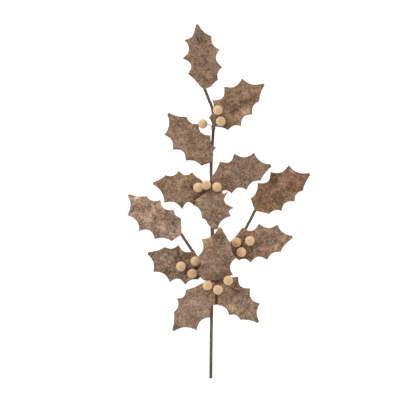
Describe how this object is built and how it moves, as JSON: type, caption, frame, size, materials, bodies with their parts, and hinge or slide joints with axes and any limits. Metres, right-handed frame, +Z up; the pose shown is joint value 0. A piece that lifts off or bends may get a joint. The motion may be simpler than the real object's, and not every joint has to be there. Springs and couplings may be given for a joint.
{
  "type": "artificial holly spray",
  "caption": "Artificial holly spray: spiny brown felt leaves and small tan ball berries on a taped wire stem with two side branches, lying face up.",
  "frame": {"origin": "middle of the spray's footprint, on the table it lies on", "axes": "+Y up the stem from its cut end to the crown leaf, +X to the right of the spray seen from above, +Z up from the table"},
  "size_m": [0.2622, 0.5072, 0.0629],
  "materials": {
    "felt": "matt heathered wool-blend felt, mottled brown",
    "berry": "matt flocked ball, pale tan",
    "tape": "waxed paper florist's tape, dark brown",
    "berry_wire": "paper-covered wire, grey brown",
    "wire_core": "plain drawn wire, cut flush"
  },
  "bodies": {
    "root": {"Stem_Tape": "tape", "Branch_Left_Tape": "tape", "Branch_Right_Tape": "tape", "Branch_Binding": "tape", "Stem_Wire": "wire_core", "Branch_Left_Wire": "wire_core", "Branch_Right_Wire": "wire_core", "Berry_Wires_Top": "berry_wire", "Berry_Wires_Middle": "berry_wire", "Berry_Wires_Left": "berry_wire", "Berry_Wires_Right": "berry_wire", "Berry_Wires_Bottom": "berry_wire", "Berry_Top_1": "berry", "Berry_Top_2": "berry", "Berry_Top_3": "berry", "Berry_Middle_1": "berry", "Berry_Middle_2": "berry", "Berry_Middle_3": "berry", "Berry_Left_1": "berry", "Berry_Left_2": "berry", "Berry_Left_3": "berry", "Berry_Right_1": "berry", "Berry_Right_2": "berry", "Berry_Right_3": "berry", "Berry_Bottom_1": "berry", "Berry_Bottom_2": "berry", "Berry_Bottom_3": "berry", "Leaf_Top": "felt", "Leaf_Upper_Right": "felt", "Leaf_Upper_Left": "felt", "Leaf_Middle_Right": "felt", "Leaf_Middle_Left": "felt", "Leaf_Centre_Down": "felt", "Leaf_Far_Left": "felt", "Leaf_Lower_Left": "felt", "Leaf_Centre_Up": "felt", "Leaf_Lower_Right": "felt", "Leaf_Far_Right": "felt", "Leaf_Bottom_Left": "felt", "Leaf_Bottom_Right": "felt"}
  },
  "joints": []
}
